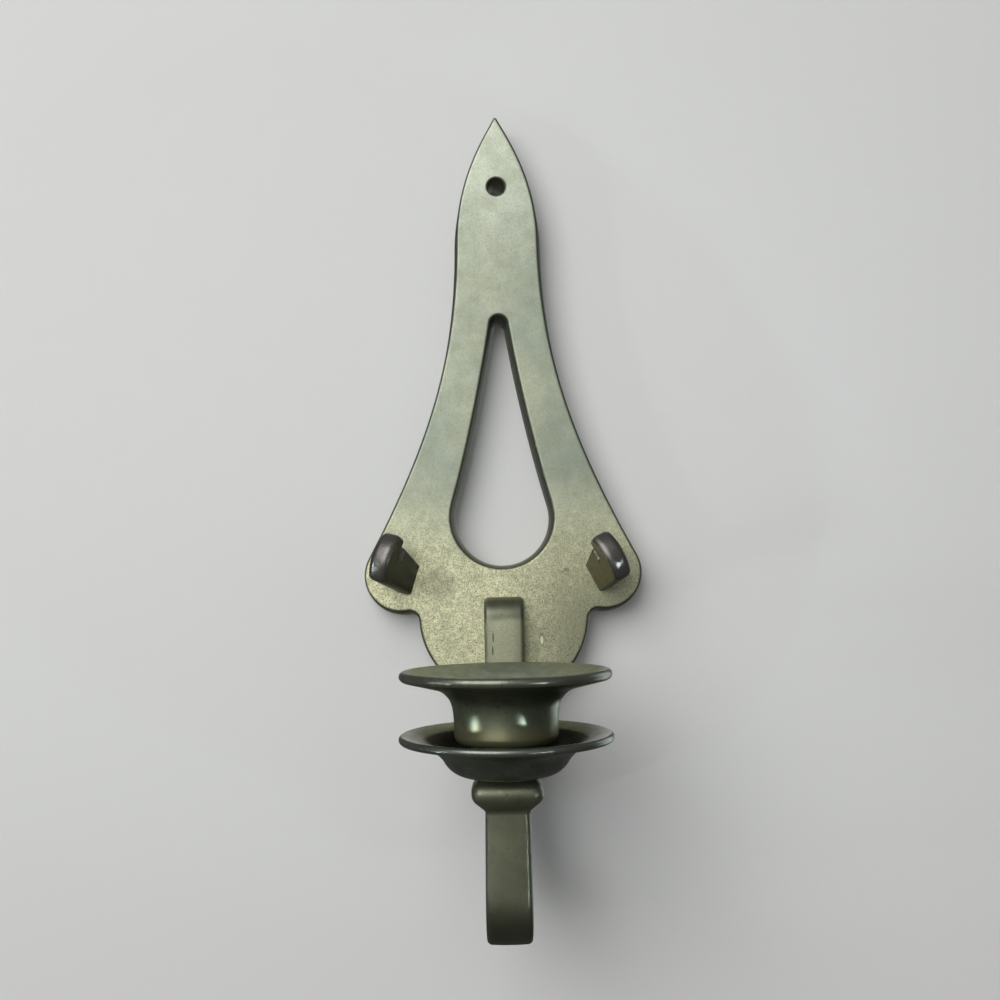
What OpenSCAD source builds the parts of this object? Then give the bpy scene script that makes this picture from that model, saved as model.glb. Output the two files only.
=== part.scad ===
// Wall sconce for one taper candle: a pierced spear-shaped backplate with two
// snuffer hooks, and a bracket arm that carries a drip pan and a candle cup.
// +Z is up, +X is to the right of someone facing the wall, and the wall is the
// plane y = 0, so everything stands out towards -Y. The origin is the centre
// of the wall-screw hole, on the wall.

/* [Backplate] */
// Height of the pointed tip above the wall-screw hole
tip_h = 22.6; // [20:0.2:26]
// Width of the blade where its pointed top ends
blade_w = 25.4; // [23:0.2:28]
// Depth of the plate, from the wall to its front face
plate_t = 10; // [9:0.5:12]
// Thickness of the front skin over the hollow back
skin_t = 3.5; // [3:0.25:4]
// Thickness of the rim round the outline and round the cut-out
rim_t = 3.2; // [2.8:0.2:4]
// Diameter of the wall-screw hole
wall_hole_d = 5.5; // [4.5:0.1:6]
// Drop from the wall-screw hole to the centres of the two lobes
lobe_drop = 120; // [116:1:124]
// Distance between the centres of the two lobes
lobe_span = 61; // [58:1:64]
// Radius of each lobe
lobe_r = 11; // [10:0.25:12]
// Drop from the wall-screw hole to the centre of the round tongue
tongue_drop = 132; // [129:1:135]
// Radius of the round tongue at the bottom of the plate
tongue_r = 25.2; // [23:0.2:27]
// Radius in the corner between a lobe and the tongue
corner_r = 3; // [2:0.25:4]

/* [Teardrop cut-out] */
// Drop from the wall-screw hole to the centre of the cut-out's round end
tear_drop = 103; // [100:1:105]
// Radius of the cut-out's round end
tear_r = 15.3; // [13:0.2:16]
// Drop from the wall-screw hole to the centre of the cut-out's narrow end
tear_top_drop = 43.6; // [41:0.2:47]
// Radius of the cut-out's narrow end
tear_top_r = 2.6; // [2:0.2:3.4]

/* [Arm] */
// Width of the arm bar
arm_w = 11.25; // [10:0.25:12]
// Thickness of the arm bar
arm_t = 7; // [6:0.25:8]
// Drop from the wall-screw hole to the top of the arm's foot
foot_drop = 127; // [125:0.2:130]
// Drop from the wall-screw hole to the underside of the arm
arm_drop = 212; // [207:1:216]
// Distance of the candle's axis in front of the plate
reach = 50; // [46:1:56]
// Outer radius of the arm's bend at the wall side
rear_bend_r = 28; // [20:1:30]
// Outer radius of the arm's bend under the candle
front_bend_r = 14; // [12:1:18]

/* [Knop] */
// Width of the knop, across the arm
knop_w = 17.2; // [15:0.2:19]
// Depth of the knop, front to back
knop_l = 13.8; // [12:0.2:15]
// Height of the knop
knop_h = 9; // [7:0.2:10]

/* [Drip pan] */
// Drop from the wall-screw hole to the underside of the drip pan
pan_drop = 169.5; // [167:0.5:172]
// Diameter over the drip pan's lip
pan_d = 52.2; // [48:0.2:56]
// Height of the drip pan
pan_h = 9.9; // [9.5:0.1:11]
// Thickness of the drip pan's metal
pan_t = 1.6; // [1.4:0.1:2]

/* [Candle cup] */
// Diameter of the candle socket
socket_d = 22.5; // [21.5:0.1:23]
// Diameter over the cup's flange
flange_d = 52; // [48:0.2:56]
// Height of the cup
cup_h = 23.5; // [22:0.1:24]
// Thickness of the cup's wall
cup_t = 1.5; // [1.4:0.05:2]
// Height of the foot that the cup's body stands on
cup_foot_h = 5.8; // [4:0.1:6.5]
// Thickness of the cup's floor, above the foot
cup_floor_t = 1.7; // [1.5:0.1:2.4]

/* [Snuffer hooks] */
// Distance between the middles of the two hooks
hook_span = 58.2; // [54:0.2:60]
// Drop from the wall-screw hole to the middle of each hook
hook_drop = 120.4; // [118:0.2:123]
// How far a hook stands out of the plate
hook_l = 19.2; // [16:0.2:21]
// Height of a hook's bar at the plate
hook_h = 10.2; // [9:0.2:11]
// Rise of the bar's top from the plate to the lip
hook_rise = 2; // [0:0.2:2.6]
// Thickness of a hook
hook_t = 5.6; // [4.2:0.1:6]
// Height of the upturned lip
lip_h = 14.2; // [13.4:0.2:15]
// Outward lean of the left and the right hook, as each was set
hook_lean_out = [19, 10]; // [0:1:22]
// Upward lean of the left and the right hook
hook_lean_up = [12, 10]; // [0:1:20]
// Turn of the left and the right lip towards the middle
hook_turn = [16, 27]; // [0:1:40]

/* [Fasteners] */
// Diameter of the machine screws and of the hooks' studs
screw_d = 4; // [3.5:0.1:4.5]
// Diameter of the clearance holes
clear_d = 4.4; // [4.2:0.1:4.8]
// Diameter over the heads of the arm's screws
head_d = 7.4; // [7:0.1:8]
// Height of those heads
head_h = 2.6; // [2:0.1:3]
// Width across the flats of the hooks' nuts
nut_af = 7; // [6.5:0.1:8]
// Thickness of the nuts
nut_t = 2.8; // [2.4:0.1:3.2]
// Thickness of the split lock washers
washer_t = 1; // [0.8:0.1:1.2]

/* [Hidden] */
$fn = 72;

patina = [0.43, 0.42, 0.27];      // greenish aged brass
dark_patina = [0.29, 0.28, 0.19]; // cup, pan and arm
dark_bronze = [0.17, 0.15, 0.12]; // hooks
raw_brass = [0.66, 0.55, 0.30];   // screws, nuts and washers

left = 0;                         // index of the left hook in the hooks' lists
right = 1;
through = 1;                      // how far a cutter runs past a face
cup_axis_y = -(plate_t + reach);
shoulder_drop = 16;               // where the pointed top meets the blade
lobe = [lobe_span / 2, -lobe_drop];
tongue = [0, -tongue_drop];
lobe_join_a = 28;                 // angle on the lobe where the blade's flare meets it
tear_join_a = 16;                 // angle on the round end where the cut-out's side meets it
flare_pull = 38;                  // reach of the control points along the plate's flare
tear_pull = 18;                   // and along the cut-out's sides
solid_top_drop = 12;              // the back is solid above this, round the wall screw
cup_z = -pan_drop + pan_t;        // the cup stands on the pan's floor
lip_t = 6.4;                      // thickness of a hook's lip at its fullest
lip_full = 2.8;                   // how far its front bulges
notch_w = 1.2;                    // notch between a hook's bar and its lip
notch_depth = 4.1;
arm_screw_drops = [134.5, 147.5]; // drops from the wall-screw hole to the arm's two screws
foot_tap_depth = arm_t - 1.6;     // depth of their tapped holes in the foot
cup_screw_l = 20;                 // the countersunk screw that clamps cup and pan to the arm
sink_r = 4.2;                     // radius of its head
stud_l = skin_t + nut_t + 0.8;    // a hook's stud shows 0.8 past its nut
slot_w = 1.2;                     // screwdriver slots
slot_depth = 1.1;

// Curves ------------------------------------------------------------------

// a point on the cubic curve with the four control points p: it leaves the first
// towards the second, and reaches the fourth from the third
function on_curve(p, t) =
    (1 - t)^3 * p[0] + 3 * (1 - t)^2 * t * p[1] + 3 * (1 - t) * t^2 * p[2] + t^3 * p[3];
function curve(p, steps) = [for (i = [0:steps]) on_curve(p, i / steps)];
function arc(centre, r, a0, a1, steps = 8) =
    [for (i = [0:steps]) let (a = a0 + (a1 - a0) * i / steps) centre + r * [cos(a), sin(a)]];
// a closed outline from its right half
function both_sides(half) =
    concat(half, [for (i = [len(half) - 1:-1:0]) if (half[i][0] > 0) [-half[i][0], half[i][1]]]);
// the angle of b as seen from a
function direction(a, b) = atan2(b[1] - a[1], b[0] - a[0]);
// where circles of radius ra round a and rb round b meet, below the line from a to b
function circles_meet(a, ra, b, rb) =
    let (
        d = norm(b - a),
        u = (b - a) / d,
        along = (ra^2 - rb^2 + d^2) / (2 * d)
    ) a + along * u + sqrt(ra^2 - along^2) * [-u[1], u[0]];

// stands a flat outline up against the wall and gives it a depth towards -Y
module upright(depth) rotate([90, 0, 0]) linear_extrude(depth) children();
// takes an outline of (distance from the wall, height) and gives it a width
module across(width) rotate([90, 0, -90]) linear_extrude(width, center = true) children();

// Backplate ---------------------------------------------------------------

// the right half of the plate's outline, from the tip down to the bottom of the tongue
function plate_side() =
    let (
        shoulder = [blade_w / 2, -shoulder_drop],
        flare_end = lobe + lobe_r * [cos(lobe_join_a), sin(lobe_join_a)],
        flare_run = flare_pull * [-sin(lobe_join_a), cos(lobe_join_a)],
        corner = circles_meet(lobe, lobe_r + corner_r, tongue, tongue_r + corner_r),
        lobe_a = direction(lobe, corner),
        tongue_a = direction(tongue, corner)
    ) concat(
        curve([[0.4, tip_h], [3.2, tip_h - 5.5], [shoulder[0] - 0.6, 4], shoulder], 10),
        curve([shoulder, shoulder + [0.2, -flare_pull], flare_end + flare_run, flare_end], 16),
        arc(lobe, lobe_r, lobe_join_a, lobe_a, 14),
        arc(corner, corner_r, lobe_a + 180, tongue_a + 180, 6),
        arc(tongue, tongue_r, tongue_a, -90, 14)
    );

// the right half of the cut-out's outline, from its narrow end down to its round end
function tear_side() =
    let (
        round_end = [0, -tear_drop],
        narrow_end = [0, -tear_top_drop],
        join = round_end + tear_r * [cos(tear_join_a), sin(tear_join_a)],
        join_run = tear_pull * [-sin(tear_join_a), cos(tear_join_a)],
        neck = narrow_end + [tear_top_r, 0]
    ) concat(
        arc(narrow_end, tear_top_r, 90, 0, 6),
        curve([neck, neck + [2.9, -tear_pull], join + join_run, join], 12),
        arc(round_end, tear_r, tear_join_a, -90, 14)
    );

module plate_outline() polygon(both_sides(plate_side()));
module cut_out() polygon(both_sides(tear_side()));

// the hollow in the back, inside the outer rim and outside the cut-out's rim
module hollow() {
    difference() {
        offset(delta = -rim_t) plate_outline();
        offset(delta = rim_t) cut_out();
        translate([-blade_w, -solid_top_drop]) square([2 * blade_w, tip_h + solid_top_drop]);
    }
}

module backplate() {
    color(patina) difference() {
        upright(plate_t) difference() {
            plate_outline();
            cut_out();
        }
        translate([0, through, 0]) upright(plate_t - skin_t + through) hollow();
        translate([0, through, 0]) upright(plate_t + 2 * through) circle(d = wall_hole_d);
        for (drop = arm_screw_drops)
            translate([0, through, -drop]) upright(plate_t + 2 * through) circle(d = clear_d);
        for (s = [-1, 1])
            translate([s * hook_span / 2, through, -hook_drop])
                upright(plate_t + 2 * through) circle(d = clear_d);
    }
}

// Arm ---------------------------------------------------------------------

// the bar seen from the side, as (distance from the wall, height): down the
// room side of the leg on the plate, round to the knop, and back along the outside
function arm_side() =
    let (
        shoulder_r = arm_t - 0.8,
        shoulder = [plate_t + arm_t - shoulder_r, -foot_drop - shoulder_r],
        rear = [plate_t + rear_bend_r, -arm_drop + rear_bend_r],
        front = [plate_t + reach + arm_t / 2 - front_bend_r, -arm_drop + front_bend_r],
        knop_bottom = -pan_drop - knop_h
    ) concat(
        [[plate_t, -foot_drop]],
        arc(shoulder, shoulder_r, 90, 0),
        arc(rear, rear_bend_r - arm_t, 180, 270, 12),
        arc(front, front_bend_r - arm_t, 270, 360, 8),
        [[front[0] + front_bend_r - arm_t, knop_bottom], [front[0] + front_bend_r, knop_bottom]],
        arc(front, front_bend_r, 360, 270, 12),
        arc(rear, rear_bend_r, 270, 180, 16)
    );

// half outline of the cushion-shaped knop for a half width, down from its top
function knop_side(half, leg_half) =
    let (
        cove_r = 1.8,                         // where the bar opens into the knop
        bulge_r = 0.36 * knop_h,
        bulge = [half - bulge_r, -0.42 * knop_h]
    ) concat(
        [[0, 0], bulge + bulge_r * [0.45, 1.1]],
        arc(bulge, bulge_r, 50, -40, 8),
        arc([leg_half + cove_r, -knop_h], cove_r, 125, 180, 4),
        [[0, -knop_h]]
    );

// a cushion: what the outline seen from the front and the one seen from the side share
module knop() {
    front = knop_side(knop_w / 2, arm_w / 2);
    side = knop_side(knop_l / 2, arm_t / 2);
    translate([0, cup_axis_y, -pan_drop]) intersection() {
        rotate([90, 0, 0]) linear_extrude(2 * knop_l, center = true) polygon(both_sides(front));
        across(2 * knop_w) polygon(both_sides(side));
    }
}

module arm() {
    tap_depth = cup_screw_l - cup_foot_h - cup_floor_t - pan_t + 1;
    color(dark_patina) difference() {
        union() {
            across(arm_w) polygon(arm_side());
            knop();
        }
        for (drop = arm_screw_drops)
            translate([0, -plate_t + through, -drop])
                upright(foot_tap_depth + through) circle(d = screw_d);
        translate([0, cup_axis_y, -pan_drop - tap_depth])
            cylinder(h = tap_depth + through, d = screw_d);
    }
}

// Drip pan and candle cup, turned about the candle's axis -------------------

module on_candle_axis(z) translate([0, cup_axis_y, z]) children();

module drip_pan() {
    bowl_c = [9.5, 6.5];
    bowl_r = 6.5;
    bowl_in = bowl_r - pan_t;
    lip_r = 0.95;                         // radius of the rounded lip
    lip = [pan_d / 2 - lip_r, pan_h - lip_r];
    flange_a = 12;                        // the flange rises by this angle
    flange_w = 5.5;                       // width of its straight part, inside the lip
    leave_a = -30;                        // where the bowl turns into the flange
    up = 2.2 * [sin(-leave_a), cos(leave_a)];
    out = [cos(flange_a), sin(flange_a)];
    in = -2.6 * out;
    under = bowl_c + bowl_r * [cos(leave_a), sin(leave_a)];
    inside = bowl_c + bowl_in * [cos(leave_a), sin(leave_a)];
    under_end = lip + lip_r * [out[1], -out[0]] - flange_w * out;
    inside_end = lip + lip_r * [-out[1], out[0]] - flange_w * out;
    color(dark_patina) on_candle_axis(-pan_drop) rotate_extrude() polygon(concat(
        [[clear_d / 2, 0]],
        arc(bowl_c, bowl_r, -90, leave_a),
        curve([under, under + up, under_end + in, under_end], 6),
        arc(lip, lip_r, flange_a - 90, flange_a + 90, 6),
        curve([inside_end, inside_end + in, inside + up, inside], 6),
        arc(bowl_c, bowl_in, leave_a, -90),
        [[clear_d / 2, pan_t]]
    ));
}

module candle_cup() {
    foot_r = 7.6;
    cove_r = 1.2;                         // between the foot and the body
    corner_r = 2.6;                       // round the body's lower edge
    floor_h = cup_foot_h + cup_floor_t;
    slope_a = 14;                         // the flange rises by this angle
    neck_r = socket_d / 2 + cup_t;
    rim_r = 1.25;                         // the flange thickens into a rounded rim
    rim = [flange_d / 2 - rim_r, cup_h - rim_r];
    flare_r = 6.5;                        // radius from the neck out to the flange
    flare_x = neck_r + flare_r;
    flare_c = [flare_x, rim[1] - (rim[0] - flare_x) * tan(slope_a)
                        - (flare_r + rim_r) / cos(slope_a)];
    color(dark_patina) on_candle_axis(cup_z) rotate_extrude() polygon(concat(
        [[clear_d / 2, 0], [foot_r, 0]],
        arc([foot_r + cove_r, cup_foot_h - cove_r], cove_r, 180, 90, 4),
        arc([neck_r - corner_r, cup_foot_h + corner_r], corner_r, -90, 0),
        arc(flare_c, flare_r, 180, 90 + slope_a),
        arc(rim, rim_r, slope_a - 90, slope_a + 90, 6),
        arc(flare_c, flare_r + cup_t, 90 + slope_a, 180),
        [[socket_d / 2, floor_h], [sink_r, floor_h],
         [clear_d / 2, floor_h - sink_r + clear_d / 2]]
    ));
}

// Snuffer hooks --------------------------------------------------------------

// a hook seen from its side, as (distance out of the plate, height): the bar's
// underside, the lip's full front and its top, the round-bottomed notch behind
// it, and the bar's top, which falls towards the plate
function hook_side() =
    let (
        bottom = -hook_h / 2,
        middle = bottom + lip_h / 2,
        front_r = (pow(lip_h / 2, 2) + pow(lip_full, 2)) / (2 * lip_full),
        front = [hook_l - front_r, middle],
        corner_r = 1.5,
        up = lip_h / 2 - corner_r,            // from the middle to the corners' centres
        corner_a = asin(up / (front_r - corner_r)),
        corner_x = front[0] + (front_r - corner_r) * cos(corner_a),
        lip_in = hook_l - lip_t,
        notch_r = notch_w / 2,
        bar_top = hook_h / 2 + hook_rise,
        notch = [lip_in - notch_r, bar_top - notch_depth + notch_r]
    ) concat(
        [[-hook_h, bottom]],
        arc([corner_x, middle - up], corner_r, -90, -corner_a, 4),
        arc(front, front_r, 0.9 * -corner_a, 0.9 * corner_a, 12),
        arc([corner_x, middle + up], corner_r, corner_a, 90, 4),
        arc([lip_in + corner_r, middle + up], corner_r, 90, 180, 4),
        arc(notch, notch_r, 0, -180),
        [[notch[0] - notch_r, bar_top], [-hook_h, hook_h / 2 - hook_rise]]
    );

module hook(which) {
    side = which == left ? -1 : 1;
    sunk = 1;                             // the stud starts inside the bar
    color(dark_bronze) translate([side * hook_span / 2, -plate_t, -hook_drop]) {
        difference() {
            rotate([-hook_lean_up[which], 0, side * hook_lean_out[which]])
                rotate([0, -side * hook_turn[which], 0]) across(hook_t) polygon(hook_side());
            // the bar ends flush on the plate's face
            translate([-hook_l, 0, -hook_l]) cube(2 * hook_l);
        }
        rotate([-90, 0, 0]) translate([0, 0, -sunk]) cylinder(h = sunk + stud_l, d = screw_d);
    }
}

module left_hook() hook(left);
module right_hook() hook(right);

module hook_nuts() {
    color(raw_brass) for (s = [-1, 1])
        translate([s * hook_span / 2, -plate_t + skin_t + nut_t, -hook_drop])
            upright(nut_t) difference() {
                circle(d = nut_af / cos(30), $fn = 6);
                circle(d = screw_d);
            }
}

// Fasteners -------------------------------------------------------------------

// a slotted cheese-head screw pointing down from z = 0, the underside of its head
module slotted_screw(length) {
    translate([0, 0, -length]) cylinder(h = length, d = screw_d);
    difference() {
        cylinder(h = head_h, d = head_d);
        translate([-head_d, -slot_w / 2, head_h - slot_depth]) cube([2 * head_d, slot_w, head_h]);
    }
}

module arm_screws() {
    length = skin_t + washer_t + foot_tap_depth - 0.6;   // 0.6 short of the hole's end
    color(raw_brass) for (drop = arm_screw_drops)
        translate([0, -plate_t + skin_t + washer_t, -drop]) rotate([-90, 0, 0])
            slotted_screw(length);
}

module arm_lock_washers() {
    split_a = 8;                          // the cut in the ring, in degrees
    ring_w = 1.5;
    color(raw_brass) for (drop = arm_screw_drops)
        translate([0, -plate_t + skin_t, -drop]) rotate([-90, 0, 0])
            rotate_extrude(angle = 360 - split_a)
                translate([clear_d / 2, 0]) square([ring_w, washer_t]);
}

module cup_screw() {
    edge = 0.2;                           // the head sits this far below the cup's floor
    head_r = sink_r - edge;
    shank_r = screw_d / 2;
    color(raw_brass) on_candle_axis(cup_z + cup_foot_h + cup_floor_t - edge) difference() {
        rotate_extrude() polygon([
            [0, 0], [head_r, 0], [shank_r, shank_r - head_r],
            [shank_r, -cup_screw_l], [0, -cup_screw_l]
        ]);
        translate([-sink_r, -slot_w / 2, -slot_depth]) cube([2 * sink_r, slot_w, sink_r]);
    }
}

backplate();
arm();
arm_screws();
arm_lock_washers();
drip_pan();
candle_cup();
cup_screw();
left_hook();
right_hook();
hook_nuts();
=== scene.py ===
from math import asin, atan2, cos, degrees, dist, hypot, pi, radians, sin, sqrt, tan

import bmesh
import bpy
from mathutils import Matrix, Vector
from mathutils.geometry import delaunay_2d_cdt


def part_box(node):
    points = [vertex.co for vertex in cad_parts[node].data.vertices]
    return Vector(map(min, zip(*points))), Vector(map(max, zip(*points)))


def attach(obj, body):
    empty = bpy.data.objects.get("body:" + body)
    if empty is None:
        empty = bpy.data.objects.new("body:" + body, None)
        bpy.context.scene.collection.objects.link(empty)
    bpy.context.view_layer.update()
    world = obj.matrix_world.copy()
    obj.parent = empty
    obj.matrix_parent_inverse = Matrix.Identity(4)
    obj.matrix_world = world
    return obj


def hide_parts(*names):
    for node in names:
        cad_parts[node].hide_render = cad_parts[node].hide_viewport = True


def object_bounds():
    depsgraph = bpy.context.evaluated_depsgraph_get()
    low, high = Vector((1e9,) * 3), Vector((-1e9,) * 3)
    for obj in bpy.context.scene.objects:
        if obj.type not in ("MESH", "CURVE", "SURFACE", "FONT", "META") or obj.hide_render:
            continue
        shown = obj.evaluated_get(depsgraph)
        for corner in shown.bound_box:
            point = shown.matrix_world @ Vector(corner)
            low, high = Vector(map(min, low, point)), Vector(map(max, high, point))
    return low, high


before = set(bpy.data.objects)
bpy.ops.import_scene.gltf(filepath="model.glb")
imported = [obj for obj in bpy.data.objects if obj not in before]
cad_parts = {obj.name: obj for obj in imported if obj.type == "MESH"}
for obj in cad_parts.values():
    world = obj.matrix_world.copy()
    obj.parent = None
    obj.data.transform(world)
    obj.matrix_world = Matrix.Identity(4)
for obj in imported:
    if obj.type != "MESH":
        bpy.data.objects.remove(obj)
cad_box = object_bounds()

# A wall sconce for one taper candle. +Z is up, +X is to the right of someone facing the wall, and the
# wall is the plane y = 0. The wall screw's hole is at the origin.

MM = 0.001  # shapes are worked out in millimetres and built in metres


# Places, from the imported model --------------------

def node_box(node):
    """A node's low and high corners in mm."""
    low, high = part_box(node)
    return low / MM, high / MM


plate_low, plate_high = node_box("backplate")
arm_low, arm_high = node_box("arm")
pan_low, pan_high = node_box("drip_pan")
cup_low, cup_high = node_box("candle_cup")

PLATE_T = plate_high.y - plate_low.y      # the wall is the plane y = 0
FACE_Y = plate_low.y                      # the plate's front face
TIP_Z = plate_high.z
AXIS_Y = (cup_low.y + cup_high.y) / 2     # the candle's axis is x = 0, y = AXIS_Y
PAN_Z, CUP_Z = pan_low.z, cup_low.z
FOOT_Z, ARM_Z = arm_high.z, arm_low.z
WALL_HOLE_R = 2.75


# Curves --------------------

def clamp(value, high=1.0):
    return max(0.0, min(high, value))


def bezier(p, steps):
    """Points on the cubic curve with the four control points p."""
    points = []
    for i in range(steps + 1):
        t = i / steps
        k = ((1 - t) ** 3, 3 * (1 - t) ** 2 * t, 3 * (1 - t) * t * t, t ** 3)
        points.append(tuple(sum(w * q[c] for w, q in zip(k, p)) for c in (0, 1)))
    return points


def arc(centre, r, a0, a1, steps):
    """Points round a centre from the angle a0 to the angle a1, in degrees."""
    return [(centre[0] + r * cos(radians(a0 + (a1 - a0) * i / steps)),
             centre[1] + r * sin(radians(a0 + (a1 - a0) * i / steps)))
            for i in range(steps + 1)]


def joined(*runs):
    """One run of points from several, without the repeated points where they meet."""
    points = []
    for run in runs:
        for p in run:
            if not points or dist(p, points[-1]) > 1e-4:
                points.append(p)
    return points


def both_sides(half):
    """A closed outline from its right half, which ends on the axis."""
    return half + [(-x, z) for x, z in reversed(half[:-1])]


def offset(loop, d):
    """The closed outline grown by d along its normals, or shrunk for d < 0."""
    area = sum(a[0] * b[1] - b[0] * a[1] for a, b in zip(loop, loop[1:] + loop[:1]))
    turn = 1 if area > 0 else -1
    grown, n = [], len(loop)
    for i, p in enumerate(loop):
        before, after = loop[i - 1], loop[(i + 1) % n]
        normals = []
        for a, b in ((before, p), (p, after)):
            length = dist(a, b)
            if length > 1e-6:
                normals.append(((b[1] - a[1]) * turn / length, -(b[0] - a[0]) * turn / length))
        nx, nz = sum(m[0] for m in normals), sum(m[1] for m in normals)
        size = hypot(nx, nz)
        nx, nz = nx / size, nz / size
        miter = max(0.6, nx * normals[0][0] + nz * normals[0][1])
        grown.append((p[0] + nx * d / miter, p[1] + nz * d / miter))
    return grown


def offset_half(half, d):
    """The right half of a grown or shrunk outline. Points that cross the axis near a tip meet on it."""
    grown = offset(both_sides(half), d)[:len(half)]
    last = max([i for i, p in enumerate(grown[:len(half) // 2]) if p[0] <= 0], default=-1)
    if last >= 0:
        (x0, z0), (x1, z1) = grown[last], grown[last + 1]
        meet = (0.0, z0 + (z1 - z0) * -x0 / (x1 - x0))
        grown[:last + 1] = [meet] * (last + 1)
    grown[-1] = (0.0, grown[-1][1])
    return grown


def holds(loop, p):
    """True if the closed outline goes round the point."""
    inside = False
    for a, b in zip(loop, loop[1:] + loop[:1]):
        if (a[1] > p[1]) != (b[1] > p[1]):
            if p[0] < a[0] + (b[0] - a[0]) * (p[1] - a[1]) / (b[1] - a[1]):
                inside = not inside
    return inside


# Meshes --------------------

class Shell:
    """Vertices in mm, faces, and for each vertex how worn it is and how far inside a hollow."""

    def __init__(self):
        self.verts, self.faces, self.wear, self.inside = [], [], [], []

    def ring(self, points, wear=0.0, inside=0.0):
        """Adds a ring of points and returns their indices."""
        first = len(self.verts)
        self.verts.extend(points)
        self.wear.extend([wear] * len(points))
        self.inside.extend([inside] * len(points))
        return list(range(first, len(self.verts)))

    def skin(self, rings):
        """Quads between each closed ring and the next."""
        for a, b in zip(rings, rings[1:]):
            for i in range(len(a)):
                j = (i + 1) % len(a)
                self.faces.append((a[i], a[j], b[j], b[i]))

    def cap(self, ring):
        self.faces.append(tuple(ring))

    def fill(self, rings, flats):
        """Triangles between an outer outline and the outlines inside it, given flat as well."""
        keys, points, owners, edges = {}, [], [], []
        for ring, flat in zip(rings, flats):
            ids = []
            for index, (u, v) in zip(ring, flat):
                key = (round(u, 4), round(v, 4))
                if key not in keys:
                    keys[key] = len(points)
                    points.append(Vector((u, v)))
                    owners.append(index)
                ids.append(keys[key])
            edges += [(a, b) for a, b in zip(ids, ids[1:] + ids[:1]) if a != b]
        _, _, faces, origins, *_ = delaunay_2d_cdt(points, edges, [], 1, 1e-5)
        for face in faces:
            corners = [origins[i][0] for i in face]
            middle = sum((points[i] for i in corners), Vector((0, 0))) / len(corners)
            if holds(flats[0], middle) and not any(holds(hole, middle) for hole in flats[1:]):
                self.faces.append(tuple(owners[i] for i in corners))

    def build(self, name, material, sharp=40.0):
        mesh = bpy.data.meshes.new(name)
        mesh.from_pydata([tuple(c * MM for c in v) for v in self.verts], [], self.faces)
        for label, values in (("wear", self.wear), ("inside", self.inside)):
            layer = mesh.attributes.new(label, "FLOAT", "POINT")
            layer.data.foreach_set("value", values)
        bm = bmesh.new()
        bm.from_mesh(mesh)
        bmesh.ops.remove_doubles(bm, verts=bm.verts, dist=2e-6)
        bmesh.ops.dissolve_degenerate(bm, dist=1e-7, edges=bm.edges)
        bmesh.ops.recalc_face_normals(bm, faces=bm.faces)
        for f in bm.faces:
            f.smooth = True
        bm.to_mesh(mesh)
        bm.free()
        mesh.set_sharp_from_angle(angle=radians(sharp))
        mesh.materials.append(material)
        piece = bpy.data.objects.new(name, mesh)
        bpy.context.scene.collection.objects.link(piece)
        return piece


def lathe(shell, profile, axis=(0.0, 0.0), segments=144, closed=True, place=None):
    """Turns a profile of (radius, height, wear, inside) about an upright axis.

    A closed profile is a full section. The others start and end at the axis. place moves the points.
    """
    rings = []
    for r, z, *extra in profile:
        wear, inside = (extra + [0.0, 0.0])[:2]
        points = []
        for i in range(segments):
            a = 2 * pi * i / segments
            p = Vector((axis[0] + r * cos(a), axis[1] + r * sin(a), z))
            points.append(tuple(place @ p) if place else tuple(p))
        rings.append(shell.ring(points, wear, inside))
    shell.skin(rings + rings[:1] if closed else rings)


CROWN_STEPS, CROWN_TURN = 6, radians(60)


def slab(shell, outline, half_t, edge_in, edge_w, place, wear):
    """A flat piece cut to an outline, with crowned edges that meet the flat sides in a soft corner.

    place takes (u, v, w) to a point in mm. The crown is edge_in deep and edge_w wide.
    """
    levels = [(-edge_in - 0.15, -half_t, 0.1)]
    levels += [(-edge_in * (1 - cos(a)) / (1 - cos(CROWN_TURN)),
                -half_t + edge_w * (1 - sin(a) / sin(CROWN_TURN)), wear)
               for a in (CROWN_TURN * (1 - i / CROWN_STEPS) for i in range(CROWN_STEPS + 1))]
    levels += [(d, -w, k) for d, w, k in reversed(levels)]
    rings, flats = [], []
    for d, w, k in levels:
        flat = offset(outline, d) if d else list(outline)
        flats.append(flat)
        rings.append(shell.ring([tuple(place(u, v, w)) for u, v in flat], k))
    shell.skin(rings)
    shell.fill([rings[0]], [flats[0]])
    shell.fill([rings[-1]], [flats[-1]])


# Materials --------------------

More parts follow.
